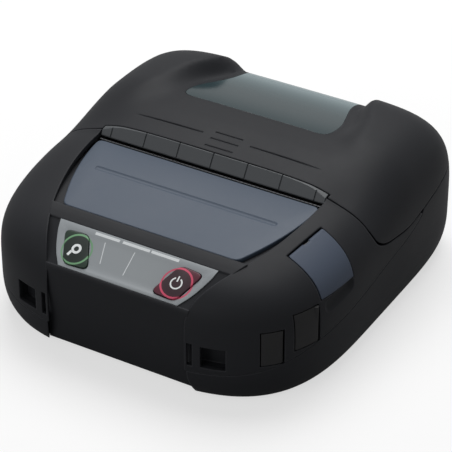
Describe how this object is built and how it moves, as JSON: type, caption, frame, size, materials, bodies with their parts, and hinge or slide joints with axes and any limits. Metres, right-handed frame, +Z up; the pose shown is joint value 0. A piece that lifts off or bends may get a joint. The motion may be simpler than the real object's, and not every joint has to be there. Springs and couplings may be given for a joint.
{
  "type": "mobile printer",
  "caption": "Black clamshell mobile receipt printer with a smoked paper window, blue-grey front panel, sloped keypad label with two keys and a blue-grey open lever",
  "frame": {"origin": "on the table under the centre of the body", "axes": "+X to the printer's right when its keys face the user, +Y to the rear, +Z up"},
  "size_m": [0.165, 0.1748, 0.0703],
  "materials": {
    "casing": "fine matt grain",
    "dark_plastic": "matt",
    "blue_grey_plastic": "satin",
    "label_film": "satin film",
    "feed_key_plastic": "satin",
    "power_key_plastic": "satin",
    "circuit_board": "solder mask",
    "bright_steel": "plated",
    "sheet_steel": "zinc plated sheet",
    "gold_contacts": "plated",
    "head_ceramic": "glazed",
    "heatsink_alloy": "mill finish",
    "cable_film": "amber film",
    "gear_plastic": "natural acetal",
    "soft_rubber": "matt",
    "smoked_window": "smoked clear"
  },
  "bodies": {
    "printer": {"lower_case": "casing", "upper_case": "casing", "front_panel": "blue_grey_plastic", "keypad_label": "label_film", "key_board": "circuit_board", "feed_switch": "bright_steel", "power_switch": "bright_steel", "lever_pin": "bright_steel", "lever_spring": "bright_steel", "interface_socket": "bright_steel", "power_jack": "dark_plastic", "main_board": "circuit_board", "battery_contacts": "gold_contacts", "battery_pack": "dark_plastic", "mechanism_frame": "sheet_steel", "tear_bar": "bright_steel", "thermal_head": "head_ceramic", "head_heatsink": "heatsink_alloy", "left_head_spring": "bright_steel", "right_head_spring": "bright_steel", "head_cable": "cable_film", "feed_motor": "sheet_steel", "idler_pin": "bright_steel", "roll_tray": "dark_plastic", "paper_sensor": "dark_plastic", "hinge_pin": "bright_steel", "front_left_foot": "soft_rubber", "front_right_foot": "soft_rubber", "rear_left_foot": "soft_rubber", "rear_right_foot": "soft_rubber", "front_left_screw": "bright_steel", "front_right_screw": "bright_steel", "middle_left_screw": "bright_steel", "middle_right_screw": "bright_steel", "rear_left_screw": "bright_steel", "rear_right_screw": "bright_steel"},
    "cover": {"paper_cover": "casing", "cover_window": "smoked_window", "comb_strip": "dark_plastic", "cover_liner": "dark_plastic", "left_platen_bush": "gear_plastic", "right_platen_bush": "gear_plastic"},
    "platen": {"platen_shaft": "bright_steel", "platen_rubber": "soft_rubber", "platen_gear": "gear_plastic"},
    "idler": {"idler_gear": "gear_plastic"},
    "motor_rotor": {"motor_shaft": "bright_steel", "motor_pinion": "gold_contacts"},
    "latch": {"latch_shaft": "bright_steel", "left_hook": "bright_steel", "right_hook": "bright_steel", "latch_crank": "dark_plastic"},
    "lever": {"open_lever": "blue_grey_plastic"},
    "feed_button": {"feed_key": "feed_key_plastic"},
    "power_button": {"power_key": "power_key_plastic"},
    "interface_door": {"interface_flap": "soft_rubber"},
    "power_door": {"power_flap": "soft_rubber"},
    "battery_catch": {"battery_latch": "dark_plastic"}
  },
  "joints": [
    {"name": "cover_hinge", "type": "hinge", "parent": "printer", "child": "cover", "pos_m": [0, 0.0836, 0.0458], "axis": [-1, 0, 0], "range_deg": [0, 90]},
    {"name": "platen_spin", "type": "hinge", "parent": "cover", "child": "platen", "pos_m": [0, -0.0032, 0.0495], "axis": [1, 0, 0], "continuous": true},
    {"name": "idler_spin", "type": "hinge", "parent": "printer", "child": "idler", "pos_m": [0, -0.0035, 0.04201], "axis": [1, 0, 0], "continuous": true},
    {"name": "motor_spin", "type": "hinge", "parent": "printer", "child": "motor_rotor", "pos_m": [0, -0.01121, 0.03281], "axis": [1, 0, 0], "continuous": true},
    {"name": "lever_swing", "type": "hinge", "parent": "printer", "child": "lever", "pos_m": [0.0606, -0.0452, 0.0543], "axis": [-0.1721, -0.9783, -0.1155], "range_deg": [0, 30], "stiffness_Nm_per_rad": 0.004},
    {"name": "latch_swing", "type": "hinge", "parent": "printer", "child": "latch", "pos_m": [0, -0.017, 0.046], "axis": [1, 0, 0], "range_deg": [0, 10]},
    {"name": "feed_press", "type": "slide", "parent": "printer", "child": "feed_button", "axis": [0, 0.5135, -0.8581], "range_m": [0, 0.0005], "stiffness_N_per_m": 200},
    {"name": "power_press", "type": "slide", "parent": "printer", "child": "power_button", "axis": [0, 0.5135, -0.8581], "range_m": [0, 0.0005], "stiffness_N_per_m": 200},
    {"name": "interface_flap_hinge", "type": "hinge", "parent": "printer", "child": "interface_door", "pos_m": [0.077, -0.0523, 0.0315], "axis": [0, 0, 1], "range_deg": [0, 95]},
    {"name": "power_flap_hinge", "type": "hinge", "parent": "printer", "child": "power_door", "pos_m": [0.06921, -0.06841, 0.0277], "axis": [0, 0, 1], "range_deg": [0, 95]},
    {"name": "battery_latch_slide", "type": "slide", "parent": "printer", "child": "battery_catch", "axis": [0, -1, 0], "range_m": [0, 0.003], "stiffness_N_per_m": 20}
  ],
  "couplings": [
    {"joint": "idler_spin", "follows": "platen_spin", "ratio": -1.5},
    {"joint": "motor_spin", "follows": "platen_spin", "ratio": 4.5},
    {"joint": "latch_swing", "follows": "lever_swing", "ratio": 0.33333}
  ]
}
